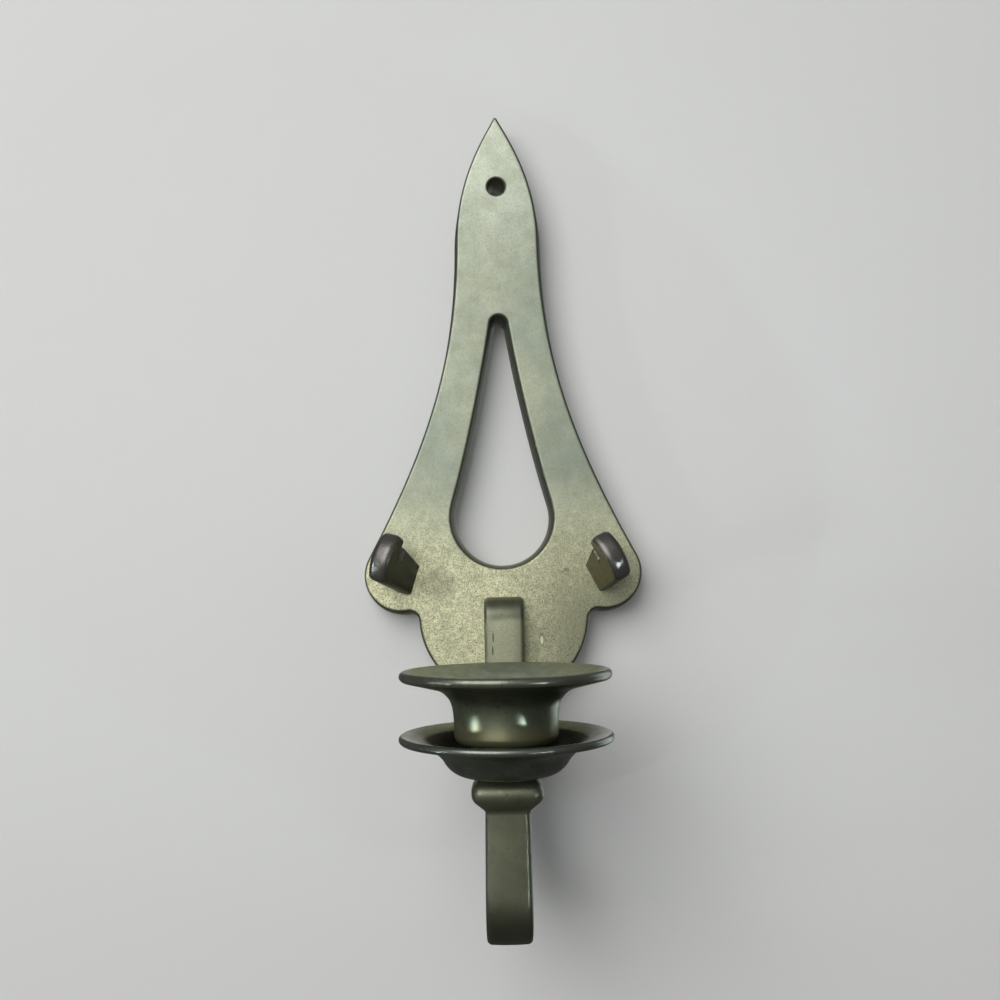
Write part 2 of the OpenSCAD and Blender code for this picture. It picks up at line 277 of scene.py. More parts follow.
class Graph:
    """A procedural material, in the object's own coordinates in metres."""

    def __init__(self, name):
        self.material = bpy.data.materials.new(name)
        self.material.use_nodes = True
        self.tree = self.material.node_tree
        self.shader = next(n for n in self.tree.nodes if n.type == "BSDF_PRINCIPLED")
        self.place = self.node("ShaderNodeTexCoord").outputs["Object"]
        split = self.node("ShaderNodeSeparateXYZ")
        self.put(split.inputs[0], self.place)
        self.x, self.y, self.z = split.outputs

    def node(self, kind, **settings):
        """A new node with the settings given."""
        made = self.tree.nodes.new(kind)
        for key, value in settings.items():
            setattr(made, key, value)
        return made

    def put(self, socket, value):
        """Links another socket to a socket, or sets its value."""
        if isinstance(value, bpy.types.NodeSocket):
            self.tree.links.new(value, socket)
        elif isinstance(value, tuple) and len(value) == 3 and socket.type == "RGBA":
            socket.default_value = (*value, 1.0)
        else:
            socket.default_value = value

    def noise(self, size_mm, detail=2.0, rough=0.5, stretch=(1, 1, 1), shift=0.0):
        """Noise whose lumps are about size_mm across, longer along an axis with a small stretch."""
        mapping = self.node("ShaderNodeMapping")
        self.put(mapping.inputs["Vector"], self.place)
        mapping.inputs["Scale"].default_value = stretch
        mapping.inputs["Location"].default_value = (shift, shift * 0.7, -shift)
        made = self.node("ShaderNodeTexNoise")
        self.put(made.inputs["Vector"], mapping.outputs[0])
        made.inputs["Scale"].default_value = 1 / (size_mm * MM)
        made.inputs["Detail"].default_value = detail
        made.inputs["Roughness"].default_value = rough
        return made.outputs["Fac"]

    def spread(self, value, low, high, to=(0.0, 1.0)):
        """A smooth step from to[0] at low to to[1] at high."""
        made = self.node("ShaderNodeMapRange", interpolation_type="SMOOTHSTEP")
        for socket, v in zip(made.inputs, (value, low, high, *to)):
            self.put(socket, v)
        return made.outputs[0]

    def math(self, operation, a, b):
        made = self.node("ShaderNodeMath", operation=operation)
        self.put(made.inputs[0], a)
        self.put(made.inputs[1], b)
        return made.outputs[0]

    def plus(self, a, b):
        return self.math("ADD", a, b)

    def times(self, a, b):
        return self.math("MULTIPLY", a, b)

    def mix(self, factor, a, b):
        """Colour a where the factor is 0, and b where it is 1."""
        made = self.node("ShaderNodeMix", data_type="RGBA")
        self.put(made.inputs[0], factor)
        self.put(made.inputs[6], a)
        self.put(made.inputs[7], b)
        return made.outputs[2]

    def spot(self, x, z, half_w, half_h, soft=0.35):
        """1 inside an upright ellipse on the front, given in mm, and 0 outside it."""
        u = self.times(self.math("SUBTRACT", self.x, x * MM), 1 / (half_w * MM))
        v = self.times(self.math("SUBTRACT", self.z, z * MM), 1 / (half_h * MM))
        far = self.plus(self.times(u, u), self.times(v, v))
        return self.spread(far, 1 + soft, 1 - soft)

    def attribute(self, name):
        return self.node("ShaderNodeAttribute", attribute_name=name).outputs["Fac"]

    def finish(self, colour, roughness, height, depth_mm, metallic, strength):
        self.put(self.shader.inputs["Base Color"], colour)
        self.put(self.shader.inputs["Roughness"], roughness)
        self.put(self.shader.inputs["Metallic"], metallic)
        bump = self.node("ShaderNodeBump")
        bump.inputs["Strength"].default_value = strength
        bump.inputs["Distance"].default_value = depth_mm * MM
        self.put(bump.inputs["Height"], height)
        self.put(self.shader.inputs["Normal"], bump.outputs[0])
        return self.material


# marks on the plate's face: x, z, half width and half height in mm, softness, strength
# a painted shadow to the right of the left hook
LEFT_HOOK_SHADOW = (-19.0, -122.5, 5.5, 4.0, 0.95, 0.38)        # beside the left hook
STAINS = ((18.9, -119.2, 0.9, 0.55, 0.5, 0.55), (17.6, -119.9, 0.45, 0.4, 0.5, 0.50))
DRIP_X, DRIP_Z = 11.1, TIP_Z - 162.2
DRIP_EDGE, DRIP_CORE = (0.80, 1.85), (0.48, 1.2)      # half widths and half heights in mm


def plate_material():
    """Patinated brass: cool down the blade, yellow and speckled round the lobes, and dark at the edges
    partly as painted shade, with painted light on the tip and painted shadows low on the right and
    beside the left hook.
    """
    g = Graph("plate_patina")
    grain = g.spread(g.noise(0.30, 2, 0.6), 0.42, 0.61)
    blotch = g.spread(g.noise(0.72, 3, 0.65, shift=0.35), 0.40, 0.64)
    mottle = g.spread(g.noise(4.5, 4, 0.6, shift=0.3), 0.3, 0.7)
    zones = g.spread(g.noise(19, 4, 0.6, (1, 1, 0.6), 0.11), 0.36, 0.66)
    low = g.spread(g.z, -0.088, -0.126)
    # cool and darker down the blade and legs, yellow round the lobes, and paler at the tip as painted
    # light
    blade = g.mix(zones, (0.255, 0.290, 0.236), (0.385, 0.400, 0.300))
    colour = g.mix(g.spread(g.z, -0.034, 0.012), blade, (0.500, 0.530, 0.425))
    yellow = g.times(low, g.spread(g.noise(24, 3, 0.6, shift=0.5), 0.2, 0.6, (0.8, 1.0)))
    colour = g.mix(yellow, colour, (0.800, 0.775, 0.500))
    # painted shadow: the plate's lower right, where the arm and cup shade it, is painted darker
    dark = g.times(g.spread(g.z, -0.098, -0.136), g.spread(g.x, -0.004, 0.024))
    colour = g.mix(g.times(dark, 0.90), colour, (0.215, 0.213, 0.143))
    coarse = g.spread(low, 0.0, 1.0, (0.16, 0.50))
    colour = g.mix(g.times(mottle, 0.30), colour, (0.250, 0.265, 0.170))
    colour = g.mix(g.times(blotch, coarse), colour, (0.330, 0.315, 0.180))
    colour = g.mix(g.times(grain, coarse), colour, (0.190, 0.182, 0.105))
    # pale patches low on the plate, kept out of the painted shadow
    pale = g.times(g.math("SUBTRACT", low, dark),
                   g.spread(g.noise(1.6, 3, 0.6, shift=0.9), 0.50, 0.66))
    colour = g.mix(g.times(pale, 0.40), colour, (0.86, 0.83, 0.54))
    specks = g.spread(g.noise(0.38, 2, 0.6, shift=0.7), 0.57, 0.63)
    specks = g.times(specks, g.spread(low, 0.0, 1.0, (0.26, 0.74)))
    colour = g.mix(specks, colour, (0.085, 0.078, 0.045))
    # the painted shadow beside the left hook, and the two stains
    for x, z, half_w, half_h, soft, amount in (LEFT_HOOK_SHADOW, *STAINS):
        shadow_and_stain = g.times(g.spot(x, z, half_w, half_h, soft), amount)
        colour = g.mix(shadow_and_stain, colour, (0.120, 0.115, 0.070))
    # one dried drip, pale with a darker edge
    drip_edge = g.times(g.spot(DRIP_X, DRIP_Z, *DRIP_EDGE), 0.7)
    colour = g.mix(drip_edge, colour, (0.20, 0.19, 0.125))
    colour = g.mix(g.spot(DRIP_X, DRIP_Z - 0.3, *DRIP_CORE), colour, (0.66, 0.66, 0.46))
    # rounded edges are painted dark, partly as rubbed wear and partly as painted shade along the
    # outline, and the walls below them are darker still
    wear = g.attribute("wear")
    colour = g.mix(g.spread(wear, 0.30, 0.95, (0.0, 0.86)), colour, (0.060, 0.066, 0.048))
    inside = g.attribute("inside")
    cast = g.mix(g.spread(g.noise(5, 4, 0.65, shift=0.2), 0.3, 0.7),
                 (0.105, 0.092, 0.052), (0.205, 0.175, 0.090))
    cast = g.mix(g.times(grain, 0.45), cast, (0.045, 0.042, 0.028))
    colour = g.mix(inside, colour, cast)
    rough = g.plus(g.spread(grain, 0.0, 1.0, (0.38, 0.50)),
                   g.times(g.plus(mottle, inside), 0.08))
    height = g.plus(g.times(grain, g.plus(inside, 0.35)),
                    g.times(mottle, 0.8))
    # worn edges also reflect less, which darkens the painted outline further
    tint = g.mix(g.spread(wear, 0.30, 0.90), (1.0, 1.0, 1.0), (0.35, 0.35, 0.33))
    g.put(g.shader.inputs["Specular Tint"], tint)
    return g.finish(colour, rough, height, depth_mm=0.03, metallic=0.5, strength=0.6)


METAL_BUMP = 0.4


def metal(name, dark, tone, light, edge, metallic=0.8, rough=(0.30, 0.46), grain_mm=0.5,
          grain_dark=0.16, edge_amount=0.3, stretch=(1, 1, 1), depth_mm=0.008):
    """Aged metal: broad tones, fine grain, dark specks, rubbed edges, and painted shade inside hollows.
    """
    g = Graph(name)
    deep = tuple(0.4 * c for c in dark)
    zones = g.spread(g.noise(15, 4, 0.6, shift=0.21), 0.32, 0.68)
    grain = g.spread(g.noise(grain_mm, 3, 0.6, stretch), 0.32, 0.68)
    mottle = g.spread(g.noise(3.4, 4, 0.6, shift=0.4), 0.3, 0.7)
    colour = g.mix(zones, tone, light)
    colour = g.mix(g.times(mottle, 0.38), colour, dark)
    colour = g.mix(g.times(grain, grain_dark), colour, dark)
    specks = g.spread(g.noise(0.9, 1.5, 0.5, shift=0.6), 0.66, 0.71)
    colour = g.mix(g.times(specks, 0.45), colour, deep)
    rubbed = g.times(g.attribute("wear"),
                     g.spread(g.noise(2.6, 3, 0.6, shift=0.8), 0.34, 0.60, (0.45, 1.0)))
    colour = g.mix(g.times(rubbed, edge_amount), colour, edge)
    # painted shade inside hollows: a darker colour and almost no reflection
    inside = g.attribute("inside")
    colour = g.mix(inside, colour, deep)
    g.put(g.shader.inputs["Specular Tint"], g.mix(inside, (1.0, 1.0, 1.0), (0.10, 0.10, 0.09)))
    roughness = g.plus(g.spread(grain, 0.0, 1.0, rough), g.times(mottle, 0.06))
    height = g.plus(g.times(grain, 0.3), g.times(mottle, 0.8))
    return g, colour, roughness, height, depth_mm, metallic


def simple_metal(*tones, **settings):
    g, *parts = metal(*tones, **settings)
    return g.finish(*parts, METAL_BUMP)


SCRATCHES = ((-3.25, -138.6, 1.5), (-3.45, -142.4, 1.3))      # on the foot: x, z, half length in mm
SCRATCH_HALF_W = 0.17


def arm_material():
    """Dark, with painted shade on the foot's shoulder and the bottom of the bend, and pale and rougher
    on the flat of the foot.
    """
    g, colour, roughness, height, depth_mm, metallic = metal(
        "arm_patina", (0.085, 0.088, 0.055), (0.155, 0.160, 0.104), (0.205, 0.208, 0.134),
        (0.20, 0.22, 0.19), rough=(0.36, 0.44))
    # the pale flat of the foot stops at a wavy line, and the shoulder above it keeps the darker painted
    # shade
    wavy_shoulder_line = g.plus(g.z, g.times(g.noise(6, 2, 0.5, shift=0.3), 0.0030))
    pale = g.times(g.spread(g.z, -0.168, -0.150), g.spread(wavy_shoulder_line, -0.1308, -0.1336))
    grain = g.spread(g.noise(0.5, 3, 0.6, shift=0.2), 0.34, 0.66)
    flat = g.mix(g.times(grain, 0.4), (0.42, 0.415, 0.285), (0.215, 0.210, 0.130))
    flat = g.mix(g.times(g.attribute("wear"), 0.55), flat, (0.12, 0.12, 0.08))
    # painted shade: the bottom of the bend and the foot's shoulder are painted darkest
    low = g.math("MAXIMUM", g.spread(g.z, ARM_Z * MM + 0.016, ARM_Z * MM + 0.006),
                 g.times(g.spread(g.z, -0.150, -0.140), 0.5))
    colour = g.mix(g.times(low, 0.62), colour, (0.050, 0.052, 0.036))
    colour = g.mix(g.times(pale, 0.92), colour, flat)
    for x, z, half_h in SCRATCHES:
        scratch = g.times(g.spot(x, z, SCRATCH_HALF_W, half_h), 0.9)
        colour = g.mix(scratch, colour, (0.030, 0.028, 0.018))
    roughness = g.plus(roughness, g.times(pale, 0.16))
    return g.finish(colour, roughness, height, depth_mm, metallic, METAL_BUMP)


def cup_material():
    """Grey-green on the flange, darker up the neck, and a golden painted reflection round its lower
    end.
    """
    g, colour, roughness, height, depth_mm, metallic = metal(
        "cup_patina", (0.070, 0.078, 0.050), (0.175, 0.196, 0.138), (0.240, 0.256, 0.172),
        (0.13, 0.13, 0.115), rough=(0.29, 0.33), edge_amount=0.6, grain_dark=0.08,
        depth_mm=0.004)
    # painted reflection: the neck's lower end is painted golden
    painted_reflection = g.spread(g.z, CUP_Z * MM + 0.0135, CUP_Z * MM + 0.0070)
    colour = g.mix(g.times(painted_reflection, 0.70), colour, (0.370, 0.345, 0.180))
    return g.finish(colour, roughness, height, depth_mm, metallic, METAL_BUMP)


def hook_material():
    """Dark brown round the edges and on the lip, olive on the sawn sides, and painted shade on the left
    hook's sawn sides.
    """
    g, colour, roughness, height, depth_mm, metallic = metal(
        "hook_bronze", (0.055, 0.049, 0.042), (0.115, 0.108, 0.094), (0.160, 0.150, 0.128),
        (0.21, 0.20, 0.19), rough=(0.29, 0.36), stretch=(1, 1, 0.3))
    sawn = g.spread(g.noise(0.9, 3, 0.6, (1, 1, 0.12), 0.3), 0.3, 0.7)
    olive = g.mix(sawn, (0.165, 0.148, 0.082), (0.250, 0.222, 0.124))
    # painted shade: the left hook's sawn sides are darker
    shaded = g.mix(sawn, (0.024, 0.022, 0.013), (0.042, 0.039, 0.023))
    side = g.mix(g.spread(g.x, 0.01, -0.01), olive, shaded)
    colour = g.mix(g.spread(g.attribute("wear"), 0.5, 0.15), colour, side)
    return g.finish(colour, roughness, height, depth_mm, metallic, METAL_BUMP)


PLATE = plate_material()
ARM = arm_material()
PAN = simple_metal("pan_patina", (0.055, 0.064, 0.050), (0.125, 0.142, 0.112), (0.175, 0.190, 0.142),
                   (0.17, 0.18, 0.165), rough=(0.26, 0.31), edge_amount=0.5)
CUP = cup_material()
HOOK = hook_material()
BRASS = simple_metal("hardware_brass", (0.20, 0.140, 0.055), (0.46, 0.345, 0.150),
                     (0.58, 0.450, 0.215), (0.78, 0.66, 0.40), metallic=0.9, rough=(0.28, 0.40),
                     grain_dark=0.35, edge_amount=0.7, depth_mm=0.02)


# Backplate --------------------

LOBE_R, TONGUE_R, CORNER_R = 11.0, 25.2, 3.0
LOBE = (plate_high.x - LOBE_R, plate_low.z + 37.2)
TONGUE = (0.0, plate_low.z + TONGUE_R)
TEAR_R, TEAR_TOP_R = 15.3, 2.6
TEAR, TEAR_TOP = (0.0, TIP_Z - 125.6), (0.0, TIP_Z - 66.2)
SHOULDER = (12.7, TIP_Z - 38.6)
TIP_PULL = ((3.2, TIP_Z - 5.5), (SHOULDER[0] - 0.6, 4))       # control points of the tip's edge
FLARE_A, FLARE_PULL = 28, 38      # where the blade's curve meets the lobe, in degrees, and its pull
TEAR_A, TEAR_PULL = 16, 18        # the same for the cut-out
EDGE_R = 0.95                     # rounding of the plate's front edges
# wear down the front edge's rounding, which paints it dark both as rubbed wear and as shade along the
# outline
EDGE_WEAR_AND_SHADE = (0.95, 1.0, 1.0, 1.0, 0.9, 0.5, 0.15)
DRAFT = 0.9                       # the walls spread by this much towards the wall
RIM_T, SKIN_T = 3.2, 3.5
HOLLOW_TOP, HOLLOW_CORNER_R, HOLLOW_FILLET_R = -12.0, 2.5, 1.7
HOLE_EDGE_R, HOLE_SEGMENTS = 0.45, 48


def corner_centre():
    """Centre of the fillet between a lobe and the tongue."""
    ra, rb = LOBE_R + CORNER_R, TONGUE_R + CORNER_R
    ux, uz = TONGUE[0] - LOBE[0], TONGUE[1] - LOBE[1]
    d = hypot(ux, uz)
    ux, uz = ux / d, uz / d
    along = (ra * ra - rb * rb + d * d) / (2 * d)
    up = sqrt(ra * ra - along * along)
    return (LOBE[0] + along * ux - up * uz, LOBE[1] + along * uz + up * ux)


def direction(a, b):
    """The angle of the line from a to b, in degrees."""
    return degrees(atan2(b[1] - a[1], b[0] - a[0]))


def plate_half():
    """Right half of the plate's outline, from the tip down."""
    c, s = cos(radians(FLARE_A)), sin(radians(FLARE_A))
    flare = (LOBE[0] + LOBE_R * c, LOBE[1] + LOBE_R * s)
    corner = corner_centre()
    lobe_a, tongue_a = direction(LOBE, corner), direction(TONGUE, corner)
    return joined(
        bezier([(0.4, TIP_Z), *TIP_PULL, SHOULDER], 22),
        bezier([SHOULDER, (SHOULDER[0] + 0.2, SHOULDER[1] - FLARE_PULL),
                (flare[0] - FLARE_PULL * s, flare[1] + FLARE_PULL * c), flare], 44),
        arc(LOBE, LOBE_R, FLARE_A, lobe_a, 26),
        arc(corner, CORNER_R, lobe_a + 180, tongue_a + 180, 9),
        arc(TONGUE, TONGUE_R, tongue_a, -90, 24))


def tear_half():
    """Right half of the cut-out, from the top down."""
    c, s = cos(radians(TEAR_A)), sin(radians(TEAR_A))
    join = (TEAR_R * c, TEAR[1] + TEAR_R * s)
    neck = (TEAR_TOP_R, TEAR_TOP[1])
    half = joined(
        arc(TEAR_TOP, TEAR_TOP_R, 90, 0, 10),
        bezier([neck, (neck[0] + 2.9, neck[1] - TEAR_PULL),
                (join[0] - TEAR_PULL * s, join[1] + TEAR_PULL * c), join], 34),
        arc(TEAR, TEAR_R, TEAR_A, -90, 26))
    half[0], half[-1] = (0.0, half[0][1]), (0.0, half[-1][1])
    return half


def hollow_half(outer):
    """Right half of the hollow's edge: across under the solid top, then down inside the rim."""
    r = HOLLOW_CORNER_R
    side = [p for p in offset_half(outer, -RIM_T) if p[1] < HOLLOW_TOP - r]
    x = side[0][0]
    return joined([(0.0, HOLLOW_TOP), (x / 2, HOLLOW_TOP)],
                  arc((x - r, HOLLOW_TOP - r), r, 90, 0, 6), side)


def plate_rings(shell, half, levels, inside=0.0):
    """A wall down the (offset, depth, wear) levels of an outline. Returns rings and outlines."""
    rings, flats = [], []
    for d, y, wear in levels:
        flat = both_sides(offset_half(half, d) if abs(d) > 1e-9 else list(half))
        flats.append(flat)
        rings.append(shell.ring([(x, y, z) for x, z in flat], wear, inside))
    shell.skin(rings)
    return rings, flats


def edge_levels(sign):
    """Offset, depth and wear down a drafted wall, from the back face to the front's flat."""
    levels = [(sign * (DRAFT - 0.5), 0.0, 0.3), (sign * (DRAFT - 0.15), -0.15, 0.5),
              (sign * DRAFT, -0.5, 0.6), (sign * DRAFT * 0.5, -(PLATE_T - EDGE_R) / 2, 0.75)]
    for i, wear in enumerate(EDGE_WEAR_AND_SHADE):
        a = pi / 2 * i / (len(EDGE_WEAR_AND_SHADE) - 1)
        levels.append((-sign * EDGE_R * (1 - cos(a)), -PLATE_T + EDGE_R * (1 - sin(a)), wear))
    levels += [(-sign * (EDGE_R + 0.3), -PLATE_T, 0.0), (-sign * (EDGE_R + 1.2), -PLATE_T, 0.0)]
    return levels


def hollow_levels(sign):
    """Offset, depth and wear down the hollow's wall, from the back face to the floor."""
    floor_y, r = SKIN_T - PLATE_T, HOLLOW_FILLET_R
    levels = [(sign * 0.75, 0.0, 0.2), (sign * 0.45, -0.12, 0.3), (sign * 0.3, -0.5, 0.3),
              (0.0, floor_y + r, 0.0)]
    levels += [(-sign * r * (1 - cos(a)), floor_y + r * (1 - sin(a)), 0.0)
               for a in (pi / 2 * i / 5 for i in range(1, 6))]
    return levels


def wall_hole(shell):
    """The wall screw's hole. Returns its front and back rings with their outlines."""
    r = WALL_HOLE_R
    profile = [(r + HOLE_EDGE_R + 0.3, -PLATE_T, 0.1, 0.0)]
    profile += [(r + HOLE_EDGE_R * (1 - cos(a)), -PLATE_T + HOLE_EDGE_R * (1 - sin(a)), 0.9,
                 0.6 if a == 0 else 0.0)
                for a in (pi / 2 * (1 - i / 4) for i in range(5))]
    profile += [(r, -0.2, 0.4, 0.6), (r + 0.2, 0.0, 0.2, 0.6)]
    rings, flats = [], []
    for radius, y, wear, inside in profile:
        flat = arc((0, 0), radius, 0, 360, HOLE_SEGMENTS)[:-1]
        flats.append(flat)
        rings.append(shell.ring([(x, y, z) for x, z in flat], wear, inside))
    shell.skin(rings)
    return (rings[0], flats[0]), (rings[-1], flats[-1])


def make_backplate():
    shell = Shell()
    outer, tear = plate_half(), tear_half()
    out_rings, out_flats = plate_rings(shell, outer, edge_levels(1))
    tear_rings, tear_flats = plate_rings(shell, tear, edge_levels(-1))
    front_hole, back_hole = wall_hole(shell)
    shell.fill([out_rings[-1], tear_rings[-1], front_hole[0]],
               [out_flats[-1], tear_flats[-1], front_hole[1]])
    # the hollow in the back, and the rim that stands in it round the cut-out
    h_rings, h_flats = plate_rings(shell, hollow_half(outer), hollow_levels(1), 1.0)
    i_rings, i_flats = plate_rings(shell, offset_half(tear, RIM_T), hollow_levels(-1), 1.0)
    shell.fill([h_rings[-1], i_rings[-1]], [h_flats[-1], i_flats[-1]])
    shell.fill([out_rings[0], h_rings[0], back_hole[0]], [out_flats[0], h_flats[0], back_hole[1]])
    shell.fill([i_rings[0], tear_rings[0]], [i_flats[0], tear_flats[0]])
    for ring in (out_rings[0], tear_rings[0]):
        for i in ring:
            shell.inside[i] = 0.8
    return shell.build("plate_casting", PLATE)


# Arm --------------------

ARM_T = 7.0
ARM_HALF_W, NECK_HALF_W = 5.75, 5.55      # half the bar's width at the foot, and below the knop
BAR_EDGE_R = 1.3
FACE_CROWN = 0.12
REAR_BEND_R, FRONT_BEND_R = 28, 14        # outer radii
FOOT_SHOULDER_R, FOOT_CORNER_R = ARM_T - 0.8, 1.6
KNOP_H, KNOP_HALF_W, KNOP_HALF_T, KNOP_COVE_R = 9.0, 8.6, 6.9, 1.8


def bar_section(centre, across, out, half_w, half_t, r):
    """A rounded rectangle with slightly full faces, in the plane of across and out."""
    points = []
    corners = ((1, 1, 0), (-1, 1, 90), (-1, -1, 180), (1, -1, 270))
    for k, (su, sv, a0) in enumerate(corners):
        cu, cv = su * (half_w - r), sv * (half_t - r)
        for i in range(6):
            a = radians(a0 + 90 * i / 5)
            points.append((cu + r * cos(a), cv + r * sin(a)))
        nu, nv, _ = corners[(k + 1) % 4]
        nu, nv = nu * (half_w - r), nv * (half_t - r)
        end = radians(a0 + 90)
        eu, ev = cos(end), sin(end)
        for t in (0.25, 0.5, 0.75):
            full = FACE_CROWN * sin(pi * t)
            points.append((cu + (nu - cu) * t + (r + full) * eu, cv + (nv - cv) * t + (r + full) * ev))
    return [tuple(centre + u * across + v * out) for u, v in points]


def section_wear(level):
    """Wear round a section: high on the rounded corners, low on the faces."""
    return ([level * w for w in (0.45, 0.9, 1.0, 1.0, 0.9, 0.45)] + [0.0] * 3) * 4


def make_arm():
    """The bar from its foot on the plate, down and round both bends, and up into the knop."""
    shell = Shell()
    X, Y = Vector((1, 0, 0)), Vector((0, 1, 0))
    rings = []

    def add(y, z, out, half_w, half_t, r=BAR_EDGE_R, level=1.0):
        ring = shell.ring(bar_section(Vector((0, y, z)), X, out, half_w, half_t, r))
        for i, w in zip(ring, section_wear(level)):
            shell.wear[i] = w
        rings.append(ring)

    def bend(centre_y, centre_z, r, a0, steps, half_w, widen):
        """A quarter turn of the bar. Its sections face the bend's centre."""
        for i in range(steps + 1):
            a = radians(a0 + 90 * i / steps)
            away = Vector((0, -cos(a), sin(a)))
            add(centre_y + (r - ARM_T / 2) * away.y, centre_z + (r - ARM_T / 2) * away.z, -away,
                half_w + widen * i / steps, ARM_T / 2)

    # the foot's rounded shoulder, from its top edge down
    for i in range(13):
        a = pi / 2 * i / 12
        drop = FOOT_SHOULDER_R * (1 - cos(a))
        depth = ARM_T - FOOT_SHOULDER_R + FOOT_SHOULDER_R * sin(a)
        left = max(0.0, FOOT_CORNER_R - drop)
        inset = FOOT_CORNER_R - sqrt(FOOT_CORNER_R ** 2 - left ** 2)
        add(FACE_Y - depth / 2, FOOT_Z - drop, -Y, ARM_HALF_W - 0.85 * inset, depth / 2,
            min(1.25, 0.42 * depth))
    # the leg down to the rear bend, and both bends
    top_z, rear_z, front_z = FOOT_Z - FOOT_SHOULDER_R, ARM_Z + REAR_BEND_R, ARM_Z + FRONT_BEND_R
    for i in range(1, 12):
        t = i / 12
        add(FACE_Y - ARM_T / 2, top_z + (rear_z - top_z) * t, -Y, ARM_HALF_W - 0.15 * t, ARM_T / 2,
            1.25)
    bend(FACE_Y - REAR_BEND_R, rear_z, REAR_BEND_R, 180, 24, ARM_HALF_W - 0.15, 0.05)
    bend(AXIS_Y + FRONT_BEND_R - ARM_T / 2, front_z, FRONT_BEND_R, 270, 16, ARM_HALF_W - 0.1, -0.1)
    # the knop: coves out from the bar, bulges, and closes under the pan
    knop_bottom = PAN_Z - KNOP_H
    for i in range(1, 6):
        t = i / 6
        add(AXIS_Y, front_z + (knop_bottom - front_z) * t, Y, NECK_HALF_W - 0.2 * t, ARM_T / 2)
    for i in range(7):
        a = radians(180 - 55 * i / 6)
        grow = KNOP_COVE_R * (1 + cos(a))
        add(AXIS_Y, knop_bottom + KNOP_COVE_R * sin(a), Y, 5.32 + grow, ARM_T / 2 + grow,
            BAR_EDGE_R + 0.3 * grow, 0.8)
    bulge_r = 0.36 * KNOP_H
    for i in range(15):
        a = radians(-40 + 90 * i / 14)
        shrink = bulge_r * (1 - cos(a))
        add(AXIS_Y, PAN_Z - 0.42 * KNOP_H + bulge_r * sin(a), Y, KNOP_HALF_W - shrink,
            KNOP_HALF_T - shrink, 2.5 - 0.35 * shrink, 0.9)
    add(AXIS_Y, PAN_Z - 0.25, Y, 6.4, 4.8, 1.7, 0.2)
    add(AXIS_Y, PAN_Z, Y, 6.0, 4.4, 1.5, 0.0)
    shell.skin(rings)
    shell.cap(rings[0])
    shell.cap(rings[-1])
    return shell.build("arm_bar", ARM)


# Drip pan and candle cup --------------------

PAN_T, CUP_T, SOCKET_R, SCREW_HOLE_R = 1.6, 1.5, 11.25, 2.2
PAN_LIP_R, PAN_BOWL_R, PAN_BOWL_X = 0.95, 6.5, 9.5
PAN_FLANGE_A, PAN_WALL_A = radians(12), radians(30)     # flange off level, wall off upright
CUP_FLOOR = 7.5                                   # above the cup's underside
CUP_FOOT_R, CUP_FOOT_H, CUP_COVE_R, CUP_CORNER_R = 7.6, 5.8, 1.2, 2.6
CUP_RIM_R, CUP_FLARE_R, CUP_FLANGE_A = 1.25, 6.5, 14
CUP_BLEND_A, CUP_BLEND_PULL = radians(36), 2.6      # the neck blends into this much of the flare
CUP_SCREW_HEAD_R = 4.2


def make_pan():
    radius, height = (pan_high.x - pan_low.x) / 2, pan_high.z - pan_low.z
    bowl = (PAN_BOWL_X, PAN_BOWL_R)
    lip = (radius - PAN_LIP_R, height - PAN_LIP_R)
    out = (cos(PAN_FLANGE_A), sin(PAN_FLANGE_A))
    up = (sin(PAN_WALL_A), cos(PAN_WALL_A))

    def leave(r):
        """Where the bowl's curve turns into the wall."""
        return (bowl[0] + r * up[1], bowl[1] - r * up[0])

    def flange_end(side):
        """Where the flange's underside (1) or upper side (-1) starts, a little inside its lip."""
        return (lip[0] + side * PAN_LIP_R * out[1] - 4.5 * out[0],
                lip[1] - side * PAN_LIP_R * out[0] - 4.5 * out[1] + side * 0.15)

    def wall(start, end):
        return bezier([start, (start[0] + 2.2 * up[0], start[1] + 2.2 * up[1]),
                       (end[0] - 2.6 * out[0], end[1] - 2.6 * out[1]), end], 12)

    outer = joined([(SCREW_HOLE_R, 0.0)], arc(bowl, PAN_BOWL_R, -90, -30, 12),
                   wall(leave(PAN_BOWL_R), flange_end(1)), arc(lip, PAN_LIP_R, 12 - 90, 12 + 90, 14))
    inner = joined(wall(leave(PAN_BOWL_R - PAN_T), flange_end(-1))[::-1],
                   arc(bowl, PAN_BOWL_R - PAN_T, -30, -90, 12), [(SCREW_HOLE_R, PAN_T)])
    shell = Shell()
    profile = [(r, PAN_Z + h, clamp((r - radius + 3.0) / 2.4)) for r, h in outer]
    # the bowl's inside gets painted shade, strongest next to the cup
    profile += [(r, PAN_Z + h, clamp((r - radius + 3.0) / 2.4), clamp((radius - 4.6 - r) / 2.4, 0.95))
                for r, h in inner]
    lathe(shell, profile, (0, AXIS_Y))
    return shell.build("pan_spinning", PAN)


